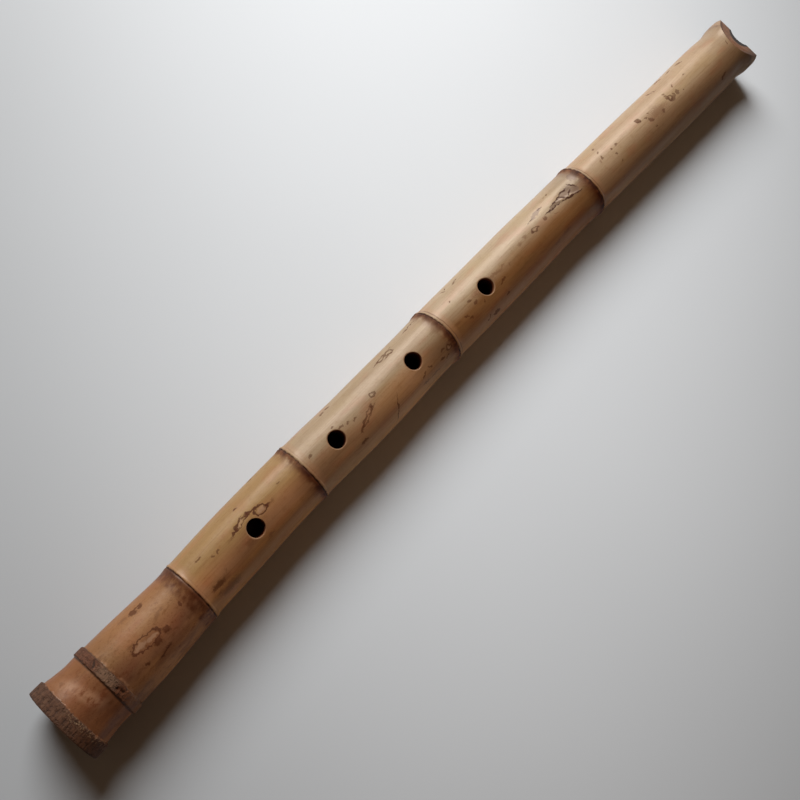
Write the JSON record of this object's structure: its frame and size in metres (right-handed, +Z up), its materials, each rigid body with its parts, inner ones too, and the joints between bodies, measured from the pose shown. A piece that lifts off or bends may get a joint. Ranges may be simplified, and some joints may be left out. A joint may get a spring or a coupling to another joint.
{
  "type": "shakuhachi",
  "caption": "End-blown bamboo flute with a bevelled blowing edge at one end, finger holes along its front, a thumb hole behind and bands of cut root stubs at its foot.",
  "frame": {"origin": "middle of the flute's bounding box, on the surface that it lies on", "axes": "+X along the flute from its root end to its blowing end, +Z up, the way the finger holes face, +Y across"},
  "size_m": [0.545, 0.0422, 0.0422],
  "materials": {
    "bamboo": "hand-rubbed natural bamboo skin, yellow-brown, reddish towards the root, with dark stains and rough root stubs",
    "bore_lacquer": "dark red-brown lacquer over a filler, smooth and glossy",
    "inlay_horn": "polished dark horn"
  },
  "bodies": {
    "root": {"culm_body": "bamboo", "bore_lining": "bore_lacquer", "blowing_edge_inlay": "inlay_horn"}
  },
  "joints": []
}
